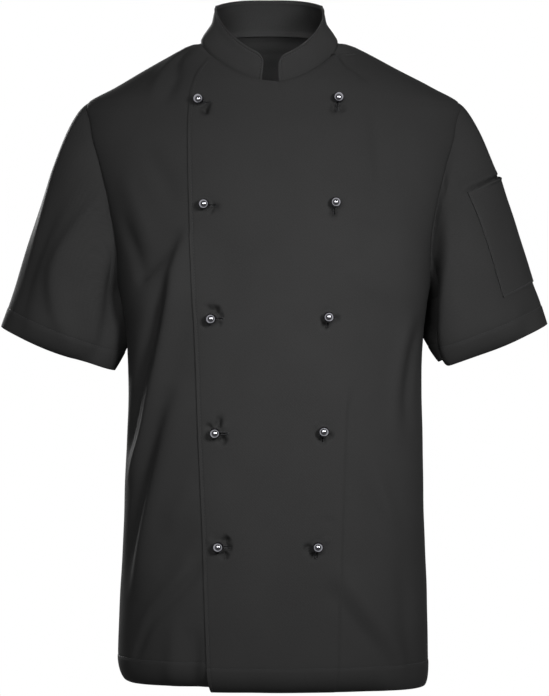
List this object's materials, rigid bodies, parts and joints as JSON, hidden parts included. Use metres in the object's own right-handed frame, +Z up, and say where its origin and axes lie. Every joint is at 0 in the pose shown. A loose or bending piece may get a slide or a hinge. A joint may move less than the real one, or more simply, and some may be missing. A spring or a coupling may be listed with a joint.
{
  "type": "chef jacket",
  "caption": "Short-sleeved double-breasted chef jacket with a stand collar, stud buttons and a sleeve pocket, filled out as if worn.",
  "frame": {"origin": "midway between the neck ends of the two shoulder seams, where the wearer's neck holds the jacket up", "axes": "+Z up, the front faces -Y, +X to the wearer's left"},
  "size_m": [0.6542, 0.253, 0.8257],
  "materials": {
    "black_cloth": "matt black polycotton twill",
    "dark_studs": "glossy dark metal"
  },
  "bodies": {
    "root": {"front_right": "black_cloth", "front_left": "black_cloth", "back": "black_cloth", "sleeve_right": "black_cloth", "sleeve_left": "black_cloth", "collar": "black_cloth", "sleeve_pocket": "black_cloth", "button_right_1": "dark_studs", "button_right_2": "dark_studs", "button_right_3": "dark_studs", "button_right_4": "dark_studs", "button_right_5": "dark_studs", "button_left_1": "dark_studs", "button_left_2": "dark_studs", "button_left_3": "dark_studs", "button_left_4": "dark_studs", "button_left_5": "dark_studs"}
  },
  "joints": []
}
